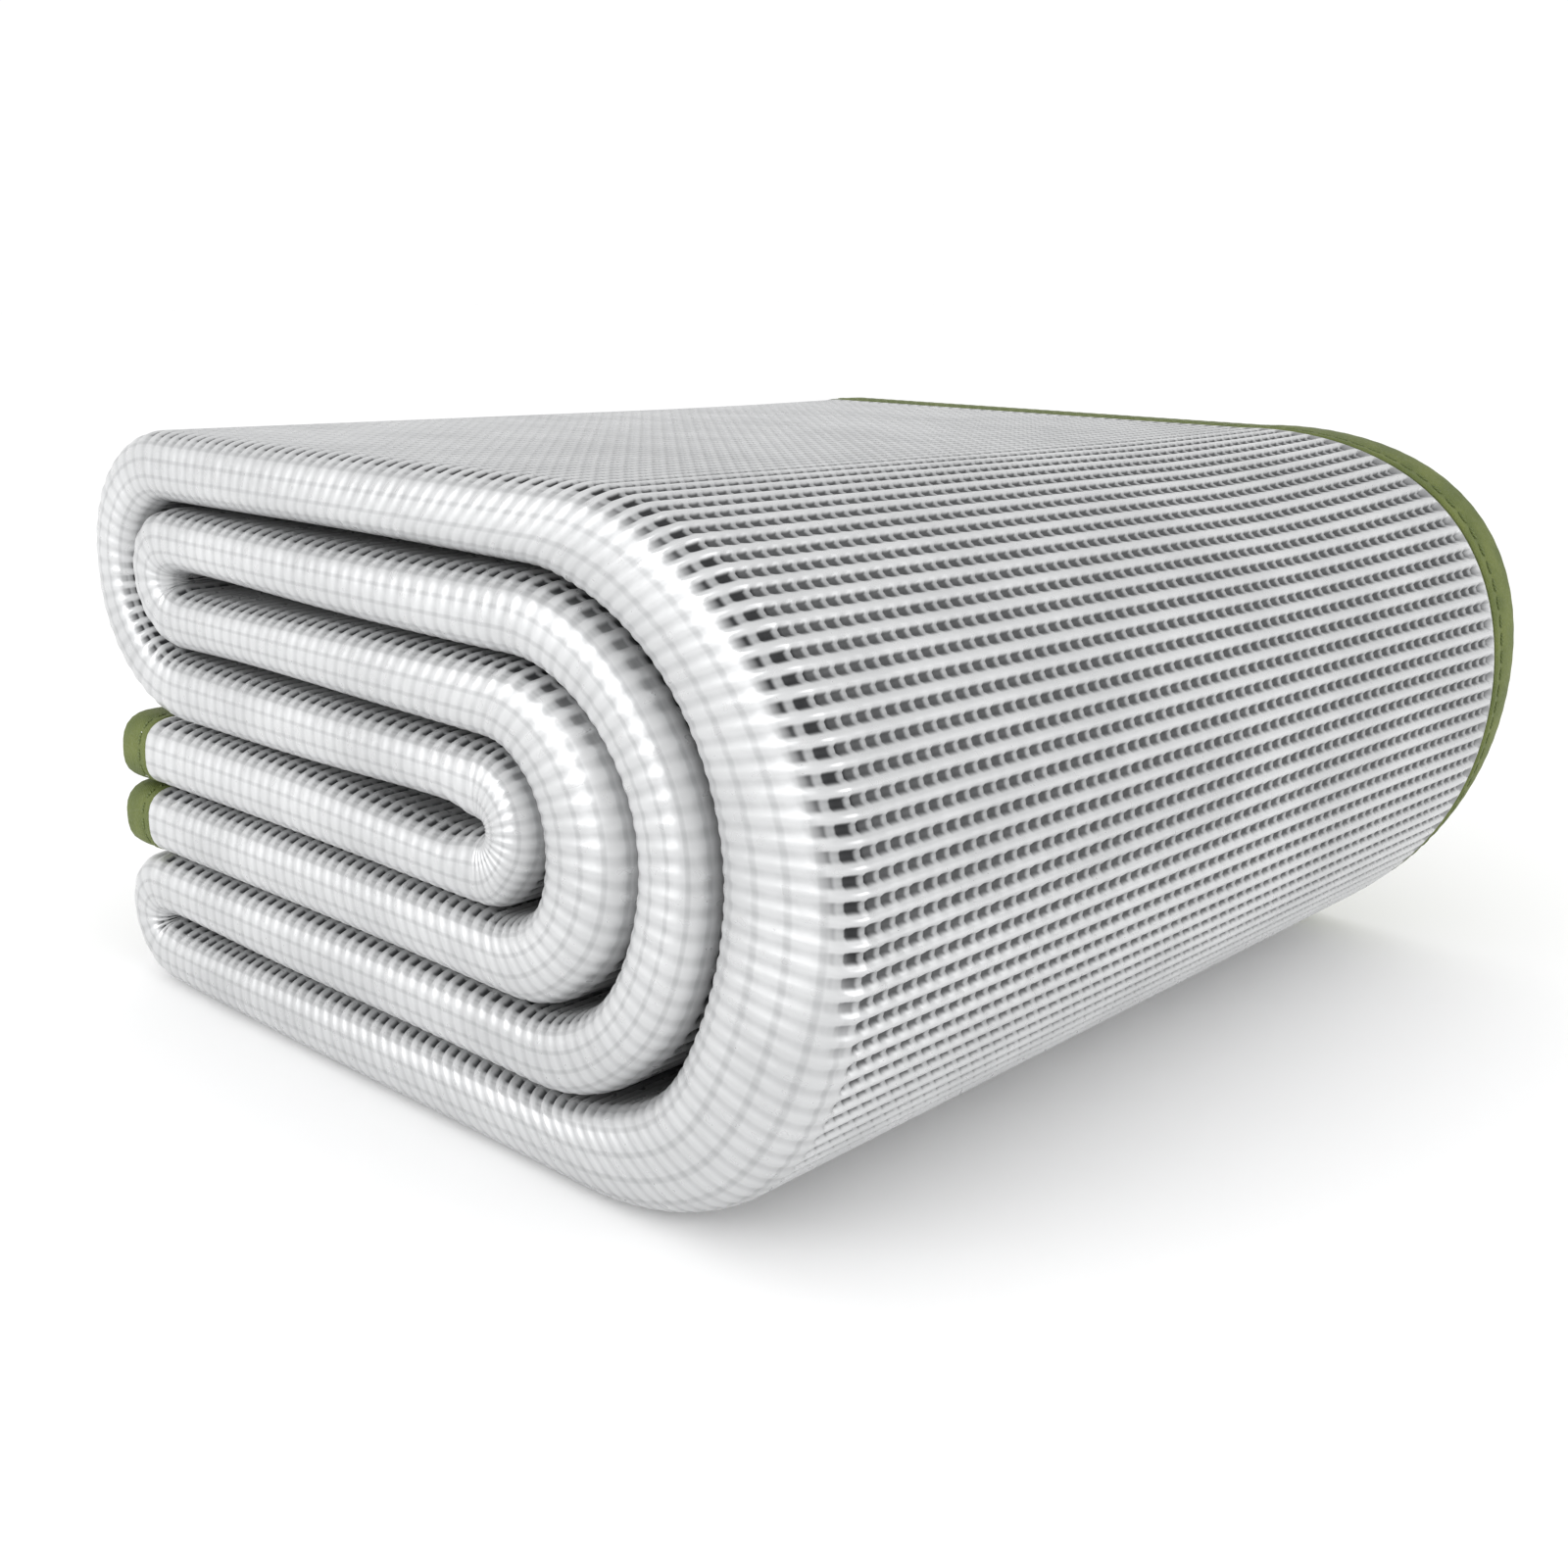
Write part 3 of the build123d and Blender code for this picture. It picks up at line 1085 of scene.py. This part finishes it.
def sheet_pieces(name, stem, lane, tape_lane, fine_minus, fine_plus):
    """All the pieces of one length, each with the node and the slot that it stands for."""
    foam_outer = half_layer - SKIN_THICKNESS
    foam_inner = inner_face + INNER_FILM_THICKNESS
    foam_faces = (foam_outer, foam_inner, SQUEEZE, -SQUEEZE)
    lining_faces = (foam_inner, inner_face, -SQUEEZE, -SQUEEZE)
    film = film_piece(f"{name}_embossed_film", lane, fine_minus, fine_plus)
    foam = plain_piece(f"{name}_foam_core", lane, *foam_faces, foam_material)
    lining = plain_piece(f"{name}_lining_film", lane, *lining_faces, film_material)
    tape = tape_piece(f"{name}_edge_tape", tape_lane)
    thread = stitch_piece(f"{name}_edge_stitches", tape_lane, (half_layer, -half_layer))
    return (
        (film, f"{stem}_outer_film", "film"),
        (foam, f"{stem}_foam", "foam"),
        (lining, f"{stem}_inner_film", "film"),
        (tape, f"{stem}_edge_binding", "binding_tape"),
        (thread, f"{stem}_edge_stitching", "thread"),
    )


def finish_piece(node):
    """Hides the part that a piece stands for."""
    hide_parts(node)


for stem, (lane, body, fine_minus, fine_plus) in LENGTHS.items():
    tape_lane = flap_lane(FREE_ENDS[stem]) if stem in FREE_ENDS else lane
    for piece, node, slot in sheet_pieces(stem, stem, lane, tape_lane, fine_minus, fine_plus):
        finish_piece(node)
        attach(piece, body)

for stem, layer in FREE_ENDS.items():
    tape = end_tape_piece(f"{stem}_end_tape", layer)
    finish_piece(f"{stem}_end_binding")
    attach(tape, "lower_stack")
    thread = end_stitch_piece(f"{stem}_end_stitches", layer)
    finish_piece(f"{stem}_end_stitching")
    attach(thread, "lower_stack")

# Clearance and sampling of the places where a fold starts and stops to bend a turn
BLEND_MARGIN = 1.0
BLEND_RADII = 9


def blend_ends(number, up):
    """Where a quarter of a nested turn starts and stops following the fold, in metres.

    up is 1 for the upper quarter and -1 for the lower one. Its two flat ends
    have to lie outside the stretch between the places, and settling has moved
    them by a shift that depends on the radius.
    """
    radii = bend_radius(number) + np.linspace(-half_layer, half_layer, BLEND_RADII)
    shifts = shift_at(radii)
    lead_shifts = shifts * (1 - bend_lead(number) / (turn_x - wrap_turn_x))
    stack_end = (lead_shifts - bend_lead(number) - radii).max() / 2 + BLEND_MARGIN
    middle_end = (shifts + radii).min() / 2 - BLEND_MARGIN
    places = [(turn_x + reach, 0, turn_z - up * reach) for reach in (stack_end, middle_end)]
    return [tuple(float(value) * MM for value in place) for place in places]


for number, stem in enumerate(BENDS):
    outermost = stem == "outer_bend"
    for half, up in (("lower", -1), ("upper", 1)):
        lane = half_bend_lane(number, up > 0)
        stack_end, middle_end = blend_ends(number, up)
        pieces = sheet_pieces(f"{stem}_{half}", stem, lane, lane, False, outermost)
        for piece, node, slot in pieces:
            finish_piece(node)
            if up > 0:
                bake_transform(piece)
            else:
                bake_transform(piece)


# ---------------------------------------------------------------------------
# Studio


FLOOR_REACH = 6.0
FLOOR_DROP = 0.0005


def make_floor():
    """A wide pale floor just below the block."""
    mesh = bpy.data.meshes.new("floor")
    low = cad_box[0][2] - FLOOR_DROP
    signs = ((-1, -1), (1, -1), (1, 1), (-1, 1))
    corners = [(x * FLOOR_REACH, y * FLOOR_REACH, low) for x, y in signs]
    mesh.from_pydata(corners, [], [(0, 1, 2, 3)])
    floor = bpy.data.objects.new("floor", mesh)
    bpy.context.scene.collection.objects.link(floor)
    finish = Finish("floor_paint")
    mesh.materials.append(finish.feed(Base_Color=(0.95, 0.95, 0.95, 1), Roughness=0.9))


# Each light: its place and its power in watts
SOFTBOXES = {"front_softbox": ((-0.5, -1.4, 0.35), 12), "side_softbox": ((1.4, 0.1, 0.4), 8)}
SOFTBOX_TARGET = (0, 0, 0.07)
SOFTBOX_SIZE = 1.0
SKY_STRENGTH = 1.06


def make_light(name, place, power):
    """A square softbox that faces the block."""
    data = bpy.data.lights.new(name, "AREA")
    data.shape = "SQUARE"
    data.size = SOFTBOX_SIZE
    data.energy = power
    light = bpy.data.objects.new(name, data)
    light.location = place
    facing = Vector(SOFTBOX_TARGET) - Vector(place)
    light.rotation_euler = facing.to_track_quat("-Z", "Y").to_euler()
    bpy.context.scene.collection.objects.link(light)


def make_world():
    """Even white light from all round."""
    world = bpy.data.worlds.new("studio")
    world.use_nodes = True
    background = world.node_tree.nodes["Background"]
    background.inputs["Color"].default_value = (1, 1, 1, 1)
    background.inputs["Strength"].default_value = SKY_STRENGTH
    bpy.context.scene.world = world


CAMERA_PLACE = (0.293, -0.325, 0.175)
CAMERA_YAW = -42.9
CAMERA_PITCH = -16.3
CAMERA_ROLL = -0.13
CAMERA_LENS = 41.06


def make_camera():
    """The camera, placed in metres and turned in degrees."""
    data = bpy.data.cameras.new("camera")
    data.lens = CAMERA_LENS
    data.sensor_width = 36.0
    data.clip_start = 0.01
    camera = bpy.data.objects.new("camera", data)
    yaw, tilt, roll = (math.radians(angle) for angle in (CAMERA_YAW, CAMERA_PITCH, CAMERA_ROLL))
    heading = Matrix.Rotation(-yaw, 4, "Z")
    pitched = Matrix.Rotation(math.pi / 2 + tilt, 4, "X")
    rolled = Matrix.Rotation(-roll, 4, "Z")
    camera.matrix_world = Matrix.Translation(CAMERA_PLACE) @ heading @ pitched @ rolled
    bpy.context.scene.collection.objects.link(camera)
    bpy.context.scene.camera = camera


bpy.context.scene.view_settings.view_transform = "Standard"
make_world()
make_floor()
for light_name, (light_place, light_power) in SOFTBOXES.items():
    make_light(light_name, light_place, light_power)
make_camera()

bpy.context.view_layer.update()
